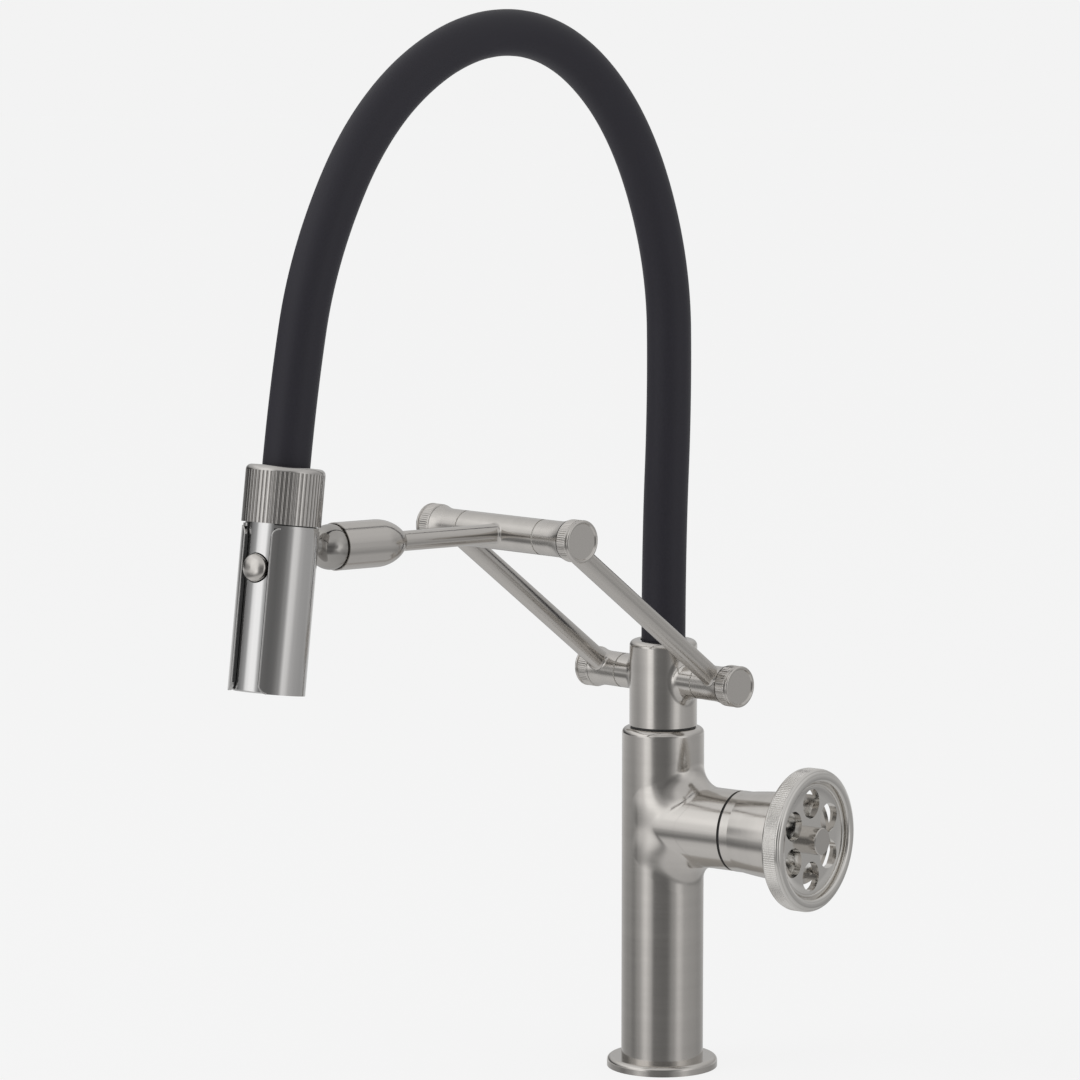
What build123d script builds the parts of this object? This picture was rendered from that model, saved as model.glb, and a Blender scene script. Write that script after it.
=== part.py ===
"""Kitchen mixer with a hose arch, two bridge arms, a docked hand spray and a handwheel lever.

Millimetres. Z is up, the origin is the column's centre on the deck. The handwheel is on +X.
The spout reaches towards -Y. It is drawn straight ahead and swung about Z when it is saved.
"""
from build123d import *
import os
from math import atan2, cos, pi, radians, sin, tan

# Column and flange
column_radius = 20.5
column_top = 172.2
column_bore = 17.5
shoulder_radius = 3.0
flange_radius = 27.7
flange_height = 5.0
flange_edge = 2.2
seal_inner = 21.5
seal_outer = 25.0
seal_depth = 1.5
neck_bore = 13.6
neck_depth = 25.2
screw_radius = 2.0

# Side boss and what it holds
handle_height = 124.3
boss_radius = 20.0
boss_length = 45.6
boss_blend = 10.0
boss_bore = 14.6
block_bottom = 104.0
block_seat = 8.0
cartridge_end = 36.0
cartridge_wall = 3.6
disc_radius = 9.6
disc_height = 3.4
port_radius = 2.4
port_circle = 5.6
port_count = 3
stem_radius = 5.0
stem_end = 64.0
stem_foot = 3.0
nut_length = 6.5
nut_key = 9.0
key_depth = 4.0
trim_depth = 1.5
trim_recess = 0.8

# Water ways at the foot
insert_height = 16.0
inlet_radius = 5.0
inlet_depth = 10.0
inlet_offset = 9.0
inlet_setback = -3.0
stud_radius = 4.0
stud_offset = 9.5
tube_radius = 4.0
tube_bore = 3.0
tube_socket = 5.0

# Handwheel
neck_radius = 20.1
neck_ring = 4.6
neck_waist = 21.5
neck_end_radius = 22.2
neck_end = 84.4
neck_wall = 2.8
neck_funnel = 10.2
neck_screw_inset = 3.2
sleeve_radius = 9.0
rim_radius = 34.9
rim_back = 81.6
rim_front = 91.0
rim_inner = 28.9
rim_edge = 1.2
rim_lip = 0.4
web_front = 88.0
web_flat = 22.5
cove_radius = 26.2
cove_rise = 0.6
bead_circle = 27.4
bead_radius = 0.8
window_radius = 7.25
window_circle = 18.0
window_count = 6
hub_radius = 6.75
hub_front = 94.65
hub_edge = 0.4
hub_shank = 4.0
shank_length = 20.0

# Swivel
swivel_radius = 16.87
swivel_crown = 18.4
swivel_edge = 3.0
swivel_gap = 1.0
spigot_depth = 19.0
ring_section = 0.8
ring_inset = 3.5
water_bore = 7.0
trunnion_rise = 25.4
trunnion_radius = 8.7
trunnion_half = 26.0
trunnion_blend = 5.5
tail_bore = 4.5
tail_depth = 16.0
ferrule_height = 6.0
ferrule_radius = 11.5

# Bridge arms
arm_length = 135.3
arm_angle = 36.55
arm_offset = 38.8
rod_radius = 5.05
rod_blend = 1.5
knuckle_end = 44.0
washer_height = 0.8
washer_recess = 0.6
axle_radius = 4.0
axle_root = 12.5
axle_tip = 50.0
cap_radius = 10.0
cap_length = 8.2
cap_bead = 1.6
cap_groove = 0.5
cap_face = 8.4
cap_sink = 0.7
flare_length = 6.5
flare_radius = 9.75

# Forearm and ball joint
forearm_length = 112.1
forearm_rise = 1.3
forearm_rod = 4.75
barrel_radius = 8.57
bush_radius = 5.9
bush_length = 12.0
cup_radius = 11.2
cup_nose = 16.0
cup_length = 41.0
cup_rim = 2.6
cup_wall = 0.5
cup_bore_depth = 10.4
cup_grip = 13.0
ball_radius = 10.6
seat_length = 8.0
seat_hole = 3.0
magnet_radius = 8.0
magnet_length = 4.0

# Dock and hand spray
wand_lean = 8.5
ball_reach = 36.9
ball_drop = 6.5
dock_radius = 17.7
dock_wall = 1.4
dock_gap = 1.9
dock_opening = 26.5
dock_corner = 4.0
dock_boss = 5.0
dock_boss_height = 3.8
dock_blend = 1.0
ball_neck = 4.4
ball_thread = 3.0
thread_depth = 3.4
liner_wall = 0.5
liner_inset = 1.0
liner_opening = 28.5
wand_radius = 15.6
wand_edge = 0.8
wand_core = 12.5
wand_neck = 14.4
wand_length = 103.2
collar_length = 26.3
collar_radius = 18.2
collar_bevel = 2.6
collar_mouth = 12.2
mouth_depth = 5.0
flute_count = 56
flute_radius = 0.62
core_reach = 9.1
core_bore = 4.5
hose_nut_height = 4.0
wand_ferrule = 7.0
face_radius = 13.0
face_height = 5.0
face_inset = 0.4
nozzle_radius = 0.8
nozzle_circles = (11.2, 8.6)
nozzle_counts = (16, 12)
aerator_radius = 6.0
mesh_radius = 1.1
mesh_circle = 3.4
mesh_count = 6
button_drop = 20.5
button_radius = 6.0
button_front = 15.5
button_dome = 2.8
button_travel = 2.0
button_gap = 0.9
button_flange = 1.7
flange_depth = 9.9
flange_wall = 0.8
button_stem = 1.8
spring_radius = 3.4
spring_length = 3.5

# Hose: distances in front of the column's axis and heights of its route's corners
hose_radius = 11.0
hose_sink = 4.0
hose_route = [
    (0, 262), (-4, 336.5), (-2.5, 405), (26.5, 474.5),
    (76.5, 515), (137, 517), (196.5, 480.5), (234.5, 415.5),
]
hose_straight = 37.0
hose_share = 0.45

# Clearances
fit = 0.05
slack = 0.3

# How far the spout stands swung from straight ahead, seen from above, in degrees
spout_swing = -9.4

neck_floor = column_top - neck_depth
swivel_foot = column_top + swivel_gap
trunnion_height = column_top + trunnion_rise
swivel_top = trunnion_height + swivel_crown
hose_foot = swivel_top - hose_sink
arm_rise = radians(arm_angle)
elbow_y = -arm_length * cos(arm_rise)
elbow_z = trunnion_height + arm_length * sin(arm_rise)
rise = radians(forearm_rise)
lean = radians(wand_lean)
swing = radians(spout_swing)
knuckle_start = trunnion_half + washer_height
cap_start = knuckle_end + slack
cap_end = cap_start + cap_length
neck_start = boss_length + trim_depth + fit
collar_start = wand_length - collar_length
core_top = collar_start + core_reach
dock_length = collar_start - dock_gap
ball_height = dock_length - ball_drop
button_height = collar_start - button_drop

handle_plane = Plane(origin=(0, 0, handle_height), x_dir=(1, 0, 0), z_dir=(0, -1, 0))
handle_axis = Axis((0, 0, handle_height), (1, 0, 0))
arm_plane = Plane(origin=(0, 0, trunnion_height), x_dir=(1, 0, 0),
                  z_dir=(0, -cos(arm_rise), sin(arm_rise)))

lower_axis = Axis((0, 0, trunnion_height), (1, 0, 0))

elbow = Vector(0, elbow_y, elbow_z)
elbow_axis = Axis(elbow, (1, 0, 0))
forearm_along = Vector(0, -cos(rise), sin(rise))
forearm_plane = Plane(origin=elbow, x_dir=(1, 0, 0), z_dir=forearm_along)
forearm_section = Plane(origin=elbow, x_dir=(1, 0, 0), z_dir=(0, -sin(rise), -cos(rise)))
forearm_axis = Axis(elbow, forearm_along)
ball_ahead = elbow + forearm_along * forearm_length

# The ball stands where the swung forearm carries it. The spray itself faces straight ahead.
ball_centre = Vector(-ball_ahead.Y * sin(swing), ball_ahead.Y * cos(swing), ball_ahead.Z)
wand_up = Vector(0, sin(lean), cos(lean))
wand_back = Vector(0, cos(lean), -sin(lean))
wand_foot = ball_centre - wand_back * ball_reach - wand_up * ball_height
wand_plane = Plane(origin=wand_foot, x_dir=(1, 0, 0), z_dir=wand_up)
wand_section = Plane(origin=wand_foot, x_dir=(1, 0, 0), z_dir=-wand_back)
wand_axis = Axis(wand_foot, wand_up)
ball_plane = Plane(origin=ball_centre - wand_back * ball_reach, x_dir=(1, 0, 0), z_dir=wand_back)
button_plane = Plane(origin=wand_foot + wand_up * button_height, x_dir=(1, 0, 0),
                     z_dir=-wand_back)


def keep(piece, label, turn=0):
    """Label a finished piece, swing it with the spout if it turns, and write it."""
    solid = piece.part.rotate(Axis.Z, turn)
    solid.label = label
    export_step(solid, f"parts/{label}.step")


def free_curve(edge):
    """True for the seam where two round forms meet, which is neither a circle nor a line."""
    return edge.geom_type not in (GeomType.CIRCLE, GeomType.LINE)


def across(y, z):
    """Plane that holds the crosswise axis through (y, z): x along the axis, y upwards."""
    return Plane(origin=(0, y, z), x_dir=(1, 0, 0), z_dir=(0, -1, 0))


def band(start, end, inner, outer, mode=Mode.ADD):
    """Rectangle from start to end between two radii, to turn about the sketch's x axis."""
    with Locations(((start + end) / 2, (inner + outer) / 2)):
        Rectangle(end - start, outer - inner, mode=mode)


def wall(start, end, inner, outer, mode=Mode.ADD):
    """Rectangle from start to end between two radii, to turn about the sketch's y axis."""
    with Locations(((inner + outer) / 2, (start + end) / 2)):
        Rectangle(outer - inner, end - start, mode=mode)


os.makedirs("parts", exist_ok=True)

# Flange with a groove for its seal
with BuildPart() as deck_flange:
    with BuildSketch(Plane.XZ):
        wall(0, flange_height, column_bore, flange_radius)
        wall(0, seal_depth, seal_inner, seal_outer, Mode.SUBTRACT)
    revolve(axis=Axis.Z)
    top_edges = deck_flange.edges().group_by(Axis.Z)[-1]
    fillet(top_edges.sort_by(SortBy.RADIUS)[-1], flange_edge)
keep(deck_flange, "deck_flange")

with BuildPart() as deck_seal:
    with BuildSketch(Plane.XZ):
        wall(0, seal_depth - fit, seal_inner + fit, seal_outer - fit)
    revolve(axis=Axis.Z)
keep(deck_seal, "deck_seal")

# Column with its side boss, bored for the water ways, the swivel and the cartridge
screw_height = column_top - spigot_depth / 2
with BuildPart() as column_body:
    with BuildSketch(Plane.XY.offset(flange_height)):
        Circle(column_radius)
    extrude(amount=column_top - flange_height)
    with BuildSketch(Plane.YZ):
        with Locations((0, handle_height)):
            Circle(boss_radius)
    extrude(amount=boss_length)
    fillet(column_body.edges().filter_by(free_curve), boss_blend)
    fillet(column_body.faces().sort_by(Axis.Z)[-1].edges(), shoulder_radius)
    with BuildSketch(Plane.XY.offset(flange_height)):
        Circle(column_bore)
    extrude(amount=neck_floor - flange_height, mode=Mode.SUBTRACT)
    with BuildSketch(Plane.XY.offset(neck_floor)):
        Circle(neck_bore)
    extrude(amount=column_top - neck_floor, mode=Mode.SUBTRACT)
    with BuildSketch(Plane.YZ):
        with Locations((0, handle_height)):
            Circle(boss_bore)
    extrude(amount=boss_length, mode=Mode.SUBTRACT)
    with BuildSketch(Plane.XZ.offset(-neck_bore + slack)):
        with Locations((0, screw_height)):
            Circle(screw_radius + fit)
    extrude(amount=-column_radius, mode=Mode.SUBTRACT)
keep(column_body, "column_body")

# Grub screw at the back that keeps the swivel down
with BuildPart() as swivel_screw:
    with BuildSketch(Plane.XZ.offset(-neck_bore + slack)):
        with Locations((0, screw_height)):
            Circle(screw_radius)
    extrude(amount=-(column_radius - neck_bore - slack))
keep(swivel_screw, "swivel_screw")

# Brass insert that takes the two supply hoses and the fixing stud
inlets = [(inlet_setback, -inlet_offset), (inlet_setback, inlet_offset)]
with BuildPart() as base_insert:
    with BuildSketch(Plane.XY):
        Circle(column_bore - fit)
        with Locations((stud_offset, 0)):
            Circle(stud_radius, mode=Mode.SUBTRACT)
        with Locations(inlets):
            Circle(tube_bore, mode=Mode.SUBTRACT)
    extrude(amount=insert_height)
    with BuildSketch(Plane.XY):
        with Locations(inlets):
            Circle(inlet_radius)
    extrude(amount=inlet_depth, mode=Mode.SUBTRACT)
    with BuildSketch(Plane.XY.offset(insert_height)):
        with Locations(inlets):
            Circle(tube_radius + fit)
    extrude(amount=-tube_socket, mode=Mode.SUBTRACT)
keep(base_insert, "base_insert")

tube_foot = insert_height - tube_socket
tube_head = block_bottom + tube_socket
with BuildPart() as supply_tubes:
    with BuildSketch(Plane.XY.offset(tube_foot)):
        with Locations(inlets):
            Circle(tube_radius)
            Circle(tube_bore, mode=Mode.SUBTRACT)
    extrude(amount=tube_head - tube_foot)
keep(supply_tubes, "supply_tubes")

# Brass valve block: sockets for the tubes, a pocket for the cartridge, the way up to the spout
block_top = neck_floor - fit
with BuildPart() as valve_block:
    with BuildSketch(Plane.XY.offset(block_bottom)):
        Circle(column_bore - fit)
    extrude(amount=block_top - block_bottom)
    with BuildSketch(Plane.YZ.offset(block_seat)):
        with Locations((0, handle_height)):
            Circle(boss_bore)
    extrude(amount=column_bore, mode=Mode.SUBTRACT)
    with BuildSketch(Plane.XY.offset(block_bottom)):
        with Locations(inlets):
            Circle(tube_radius + fit)
    extrude(amount=tube_socket + fit, mode=Mode.SUBTRACT)
    with BuildSketch(Plane.XY.offset(handle_height)):
        Circle(tail_bore)
    extrude(amount=block_top - handle_height, mode=Mode.SUBTRACT)
keep(valve_block, "valve_block")

# Cartridge: housing, fixed disc, moving disc, stem and the nut that clamps it
housing_start = block_seat + fit
disc_start = housing_start + cartridge_wall
moving_start = disc_start + disc_height + fit
stem_start = moving_start + disc_height
chamber_end = stem_start + stem_foot + fit
with BuildPart() as cartridge_housing:
    with BuildSketch(handle_plane):
        band(housing_start, cartridge_end, 0, boss_bore - fit)
        band(disc_start, chamber_end, 0, disc_radius + fit, Mode.SUBTRACT)
        band(chamber_end, cartridge_end, 0, stem_radius + fit, Mode.SUBTRACT)
    revolve(axis=handle_axis)
    with BuildSketch(Plane.YZ.offset(housing_start)):
        with Locations((0, handle_height)):
            with PolarLocations(port_circle, port_count):
                Circle(port_radius)
    extrude(amount=cartridge_wall, mode=Mode.SUBTRACT)
keep(cartridge_housing, "cartridge_housing")

with BuildPart() as fixed_disc:
    with BuildSketch(Plane.YZ.offset(disc_start)):
        with Locations((0, handle_height)):
            Circle(disc_radius)
            with PolarLocations(port_circle, port_count):
                Circle(port_radius, mode=Mode.SUBTRACT)
    extrude(amount=disc_height)
keep(fixed_disc, "fixed_disc")

with BuildPart() as moving_disc:
    with BuildSketch(Plane.YZ.offset(moving_start)):
        with Locations((0, handle_height)):
            Circle(disc_radius - fit)
            with PolarLocations(port_circle, 1):
                SlotOverall(3 * port_radius, 2 * port_radius, rotation=90, mode=Mode.SUBTRACT)
    extrude(amount=disc_height)
keep(moving_disc, "moving_disc")

with BuildPart() as cartridge_stem:
    with BuildSketch(handle_plane):
        band(stem_start, stem_start + stem_foot, 0, disc_radius - fit)
        band(stem_start, stem_end, 0, stem_radius)
    revolve(axis=handle_axis)
keep(cartridge_stem, "cartridge_stem")

with BuildPart() as cartridge_nut:
    with BuildSketch(handle_plane):
        band(cartridge_end, cartridge_end + nut_length, stem_radius + slack, boss_bore - fit)
    revolve(axis=handle_axis)
    with BuildSketch(Plane.YZ.offset(cartridge_end + nut_length)):
        with Locations((0, handle_height)):
            RegularPolygon(nut_key, 6)
    extrude(amount=-key_depth, mode=Mode.SUBTRACT)
keep(cartridge_nut, "cartridge_nut")

with BuildPart() as trim_ring:
    with BuildSketch(handle_plane):
        band(boss_length, boss_length + trim_depth, boss_bore, boss_radius - trim_recess)
    revolve(axis=handle_axis)
keep(trim_ring, "trim_ring")

# Handwheel's neck: a collar ring, a swelling outline and a funnel behind the wheel's windows
with BuildPart() as handle_neck:
    with BuildSketch(handle_plane):
        with BuildLine():
            Polyline((neck_start, 0), (neck_start, neck_radius),
                     (neck_start + neck_ring, neck_radius))
            Spline((neck_start + neck_ring, neck_radius),
                   ((neck_start + neck_end) / 2, neck_waist), (neck_end, neck_end_radius))
            Polyline((neck_end, neck_end_radius), (neck_end, neck_end_radius - neck_wall),
                     (neck_end - neck_funnel, sleeve_radius), (neck_end, sleeve_radius),
                     (neck_end, 0), (neck_start, 0))
        make_face()
        band(neck_start, stem_end + slack, 0, stem_radius + fit, Mode.SUBTRACT)
        band(stem_end, neck_end, 0, hub_shank + fit, Mode.SUBTRACT)
    revolve(axis=handle_axis)
    with BuildSketch(Plane.XY.offset(handle_height)):
        with Locations((neck_start + neck_screw_inset, 0)):
            Circle(screw_radius + fit)
    extrude(amount=-neck_waist, mode=Mode.SUBTRACT)
keep(handle_neck, "handle_neck")

with BuildPart() as handle_screw:
    with BuildSketch(Plane.XY.offset(handle_height - stem_radius - fit)):
        with Locations((neck_start + neck_screw_inset, 0)):
            Circle(screw_radius)
    extrude(amount=-(neck_radius - stem_radius - trim_recess))
keep(handle_screw, "handle_screw")

# Wheel: a deep rim, a web with round windows, a cove and a bead round it, a plain hub in front
cove_top = web_front + cove_rise
with BuildPart() as handwheel:
    with BuildSketch(handle_plane):
        band(rim_back, rim_front, rim_inner, rim_radius)
        band(neck_end, web_front, hub_shank + fit, rim_inner)
        with BuildLine():
            TangentArc((web_front, web_flat), (cove_top, cove_radius), tangent=(0, 1))
            Polyline((cove_top, cove_radius), (cove_top, rim_inner), (web_front, rim_inner),
                     (web_front, web_flat))
        make_face()
        with Locations((cove_top, bead_circle)):
            Circle(bead_radius)
    revolve(axis=handle_axis)
    rim_circles = handwheel.edges().filter_by(GeomType.CIRCLE).group_by(SortBy.RADIUS)
    fillet(rim_circles[-1], rim_edge)
    front_circles = handwheel.edges().filter_by(GeomType.CIRCLE).group_by(Axis.X)[-1]
    fillet(front_circles.sort_by(SortBy.RADIUS)[0], rim_lip)
    with BuildSketch(Plane.YZ.offset(neck_end)):
        with Locations((0, handle_height)):
            with PolarLocations(window_circle, window_count, start_angle=90):
                Circle(window_radius)
    extrude(amount=rim_front - neck_end, mode=Mode.SUBTRACT)
keep(handwheel, "handwheel")

with BuildPart() as wheel_hub:
    with BuildSketch(handle_plane):
        band(web_front, hub_front, 0, hub_radius)
        band(web_front - shank_length, web_front, 0, hub_shank)
    revolve(axis=handle_axis)
    chamfer(wheel_hub.edges().sort_by(Axis.X)[-1], hub_edge)
keep(wheel_hub, "wheel_hub")

# Swivel: a spigot in the column's neck, the visible drum, and a boss on each side for an arm
spigot_foot = column_top - spigot_depth
spigot_radius = neck_bore - fit
ring_heights = (column_top - ring_inset, spigot_foot + ring_inset)
hose_pocket = hose_foot - ferrule_height
with BuildPart() as swivel_body:
    with BuildSketch(Plane.XZ):
        wall(spigot_foot, swivel_foot, 0, spigot_radius)
        wall(swivel_foot, swivel_top, 0, swivel_radius)
    revolve(axis=Axis.Z)
    with BuildSketch(Plane.YZ.offset(-trunnion_half)):
        with Locations((0, trunnion_height)):
            Circle(trunnion_radius)
    extrude(amount=2 * trunnion_half)
    fillet(swivel_body.edges().filter_by(free_curve), trunnion_blend)
    fillet(swivel_body.faces().sort_by(Axis.Z)[-1].edges(), swivel_edge)
    with BuildSketch(Plane.XZ):
        wall(spigot_foot, swivel_top, 0, water_bore)
        wall(hose_pocket, swivel_top, 0, ferrule_radius + fit)
        groove_floor = spigot_radius - 2 * ring_section
        for height in ring_heights:
            wall(height - ring_section - fit, height + ring_section + fit,
                 groove_floor, spigot_radius)
        wall(screw_height - screw_radius - slack, screw_height + screw_radius + slack,
             groove_floor, spigot_radius)
    revolve(axis=Axis.Z, mode=Mode.SUBTRACT)
    with BuildSketch(Plane.YZ.offset(axle_root)):
        with Locations((0, trunnion_height)):
            Circle(axle_radius + fit)
    extrude(amount=trunnion_half - axle_root, mode=Mode.SUBTRACT)
    with BuildSketch(Plane.YZ.offset(-axle_root)):
        with Locations((0, trunnion_height)):
            Circle(axle_radius + fit)
    extrude(amount=axle_root - trunnion_half, mode=Mode.SUBTRACT)
keep(swivel_body, "swivel_body", spout_swing)

with BuildPart() as swivel_rings:
    with BuildSketch(Plane.XZ):
        with Locations([(spigot_radius - ring_section, height) for height in ring_heights]):
            Circle(ring_section - fit)
    revolve(axis=Axis.Z)
keep(swivel_rings, "swivel_rings", spout_swing)

with BuildPart() as swivel_glide:
    with BuildSketch(Plane.XZ):
        wall(column_top, swivel_foot - fit, neck_bore + fit, swivel_radius - washer_recess)
    revolve(axis=Axis.Z)
keep(swivel_glide, "swivel_glide")

# Hose end at the swivel: a tail in the water way and a ferrule round the hose's foot
with BuildPart() as hose_tail:
    with BuildSketch(Plane.XZ):
        wall(hose_pocket - tail_depth, hose_pocket, tail_bore, water_bore - fit)
    revolve(axis=Axis.Z)
keep(hose_tail, "hose_tail", spout_swing)

with BuildPart() as hose_ferrule:
    with BuildSketch(Plane.XZ):
        wall(hose_pocket, hose_foot, tail_bore, ferrule_radius)
    revolve(axis=Axis.Z)
keep(hose_ferrule, "hose_ferrule", spout_swing)


def knuckle(side, y, z, radius):
    """Profile of a sleeve on a crosswise axle, flared towards its cap."""
    start = side * knuckle_start
    end = side * knuckle_end
    with BuildSketch(across(y, z)) as profile:
        with BuildLine():
            Polyline((start, 0), (start, radius), (end - side * flare_length, radius))
            TangentArc((end - side * flare_length, radius), (end, flare_radius),
                       tangent=(side, 0))
            Polyline((end, flare_radius), (end, 0), (start, 0))
        make_face()
    return profile.sketch


def end_cap(side, y, z):
    """Profile of an axle's round cap: a broad band, a bead and a sunk flat face."""
    start = side * cap_start
    bead = side * (cap_end - cap_bead)
    end = side * cap_end
    face = side * (cap_end - cap_sink)
    with BuildSketch(across(y, z)) as profile:
        with BuildLine():
            Polyline((start, axle_radius + fit), (start, flare_radius),
                     (start + side * cap_groove, cap_radius),
                     (bead - side * cap_groove, cap_radius), (bead, cap_radius - cap_groove))
            ThreePointArc((bead, cap_radius - cap_groove),
                          (bead + side * cap_bead / 2, cap_radius + cap_groove / 2),
                          (end, cap_face + cap_groove))
            Polyline((end, cap_face + cap_groove), (face, cap_face), (face, 0),
                     (side * axle_tip, 0), (side * axle_tip, axle_radius + fit),
                     (start, axle_radius + fit))
        make_face()
    return profile.sketch


def washer(side, y, z):
    """Profile of a thin glide washer between two knuckles."""
    with BuildSketch(across(y, z)) as profile:
        band(side * trunnion_half, side * (knuckle_start - fit),
             axle_radius + fit, barrel_radius - washer_recess)
    return profile.sketch


# Two bridge arms: a round rod between a knuckle at the swivel and one at the elbow
for side, hand in ((1, "right"), (-1, "left")):
    with BuildPart() as bridge_arm:
        with BuildSketch(arm_plane):
            with Locations((side * arm_offset, 0)):
                Circle(rod_radius)
        extrude(amount=arm_length)
        revolve(knuckle(side, 0, trunnion_height, trunnion_radius), axis=lower_axis)
        revolve(knuckle(side, elbow_y, elbow_z, barrel_radius), axis=elbow_axis)
        fillet(bridge_arm.edges().filter_by(free_curve), rod_blend)
        with BuildSketch(Plane.YZ.offset(side * knuckle_start)):
            with Locations((0, trunnion_height), (elbow_y, elbow_z)):
                Circle(axle_radius + fit)
        extrude(amount=side * (knuckle_end - knuckle_start), mode=Mode.SUBTRACT)
    keep(bridge_arm, f"bridge_arm_{hand}", spout_swing)

# Lower pivots: a stud screwed into each side of the swivel, with its washer and cap
with BuildPart() as lower_axles:
    for side in (1, -1):
        with BuildSketch(Plane.YZ.offset(side * axle_root)):
            with Locations((0, trunnion_height)):
                Circle(axle_radius)
        extrude(amount=side * (axle_tip - axle_root))
keep(lower_axles, "lower_axles", spout_swing)

with BuildPart() as lower_caps:
    for side in (1, -1):
        revolve(end_cap(side, 0, trunnion_height), axis=lower_axis)
keep(lower_caps, "lower_caps", spout_swing)

with BuildPart() as lower_washers:
    for side in (1, -1):
        revolve(washer(side, 0, trunnion_height), axis=lower_axis)
keep(lower_washers, "lower_washers", spout_swing)

# Elbow: one axle through both arms and the forearm's barrel
with BuildPart() as elbow_axle:
    with BuildSketch(Plane.YZ.offset(-axle_tip)):
        with Locations((elbow_y, elbow_z)):
            Circle(axle_radius)
    extrude(amount=2 * axle_tip)
keep(elbow_axle, "elbow_axle", spout_swing)

with BuildPart() as elbow_caps:
    for side in (1, -1):
        revolve(end_cap(side, elbow_y, elbow_z), axis=elbow_axis)
keep(elbow_caps, "elbow_caps", spout_swing)

with BuildPart() as elbow_washers:
    for side in (1, -1):
        revolve(washer(side, elbow_y, elbow_z), axis=elbow_axis)
keep(elbow_washers, "elbow_washers", spout_swing)

# Forearm: a barrel between the two arms with a rod welded to its front
cup_back = forearm_length - cup_rim - cup_length
rod_end = cup_back + cup_grip
with BuildPart() as forearm_bar:
    with BuildSketch(forearm_plane):
        Circle(forearm_rod)
    extrude(amount=rod_end)
    with BuildSketch(across(elbow_y, elbow_z)):
        band(-trunnion_half, trunnion_half, 0, barrel_radius)
    revolve(axis=elbow_axis)
    fillet(forearm_bar.edges().filter_by(free_curve), rod_blend)
    with BuildSketch(across(elbow_y, elbow_z)):
        band(-trunnion_half, trunnion_half, 0, axle_radius + slack)
        band(-trunnion_half, bush_length - trunnion_half, 0, bush_radius + fit)
        band(trunnion_half - bush_length, trunnion_half, 0, bush_radius + fit)
    revolve(axis=elbow_axis, mode=Mode.SUBTRACT)
keep(forearm_bar, "forearm_bar", spout_swing)

with BuildPart() as forearm_bushes:
    with BuildSketch(across(elbow_y, elbow_z)):
        band(-trunnion_half, bush_length - trunnion_half - fit, axle_radius + fit, bush_radius)
        band(trunnion_half - bush_length + fit, trunnion_half, axle_radius + fit, bush_radius)
    revolve(axis=elbow_axis)
keep(forearm_bushes, "forearm_bushes", spout_swing)

# Socket cup: an ogive nose on the rod, an open mouth that the ball seats in
mouth = forearm_length - cup_rim
cup_inner = cup_radius - cup_wall
bore_floor = mouth - cup_bore_depth
with BuildPart() as socket_cup:
    with BuildSketch(forearm_section):
        with BuildLine():
            Polyline((0, cup_back), (0, mouth), (cup_radius, mouth),
                     (cup_radius, cup_back + cup_nose))
            TangentArc((cup_radius, cup_back + cup_nose), (forearm_rod + slack, cup_back),
                       tangent=(0, -1))
            Line((forearm_rod + slack, cup_back), (0, cup_back))
        make_face()
        wall(bore_floor, mouth, 0, cup_inner, Mode.SUBTRACT)
        wall(bore_floor - magnet_length, bore_floor, 0, magnet_radius + fit, Mode.SUBTRACT)
        wall(cup_back, rod_end + fit, 0, forearm_rod + fit, Mode.SUBTRACT)
    revolve(axis=forearm_axis)
keep(socket_cup, "socket_cup", spout_swing)

with BuildPart() as socket_magnet:
    with BuildSketch(forearm_section):
        wall(bore_floor - magnet_length + fit, bore_floor - fit, 0, magnet_radius)
    revolve(axis=forearm_axis)
keep(socket_magnet, "socket_magnet", spout_swing)

with BuildPart() as ball_seat:
    with BuildSketch(forearm_section):
        wall(bore_floor + fit, bore_floor + seat_length, seat_hole, cup_inner - fit)
        with Locations((0, forearm_length)):
            Circle(ball_radius + fit, mode=Mode.SUBTRACT)
    revolve(axis=forearm_axis)
keep(ball_seat, "ball_seat", spout_swing)

# Ball with its neck and threaded end, which joins the dock to the socket
boss_face = dock_radius + dock_boss_height
with BuildPart() as dock_ball:
    with BuildSketch(ball_plane.offset(boss_face)):
        Circle(ball_neck)
    extrude(amount=ball_reach - boss_face)
    with BuildSketch(ball_plane.offset(boss_face - thread_depth)):
        Circle(ball_thread)
    extrude(amount=thread_depth)
    with Locations(ball_centre):
        Sphere(ball_radius)
keep(dock_ball, "dock_ball")

# Dock: a sleeve that is open along its front, with a boss for the ball at its back
dock_inner = dock_radius - dock_wall
opening_reach = 2 * dock_radius
opening_half = opening_reach * tan(radians(dock_opening))
with BuildPart() as dock_sleeve:
    with BuildSketch(wand_plane):
        Circle(dock_radius)
    extrude(amount=dock_length)
    with BuildSketch(ball_plane):
        Circle(dock_boss)
    extrude(amount=boss_face)
    fillet(dock_sleeve.edges().filter_by(free_curve), dock_blend)
    with BuildSketch(wand_plane):
        Circle(dock_inner)
        with BuildLine():
            Polyline((0, 0), (-opening_half, -opening_reach), (opening_half, -opening_reach),
                     close=True)
        make_face()
    extrude(amount=dock_length, mode=Mode.SUBTRACT)
    corners = dock_sleeve.edges().filter_by(GeomType.LINE).filter_by(
        lambda edge: edge.length < dock_wall + slack)
    fillet(corners, dock_corner)
    with BuildSketch(ball_plane.offset(boss_face)):
        Circle(ball_thread + fit)
    extrude(amount=-thread_depth - fit, mode=Mode.SUBTRACT)
keep(dock_sleeve, "dock_sleeve")

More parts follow.
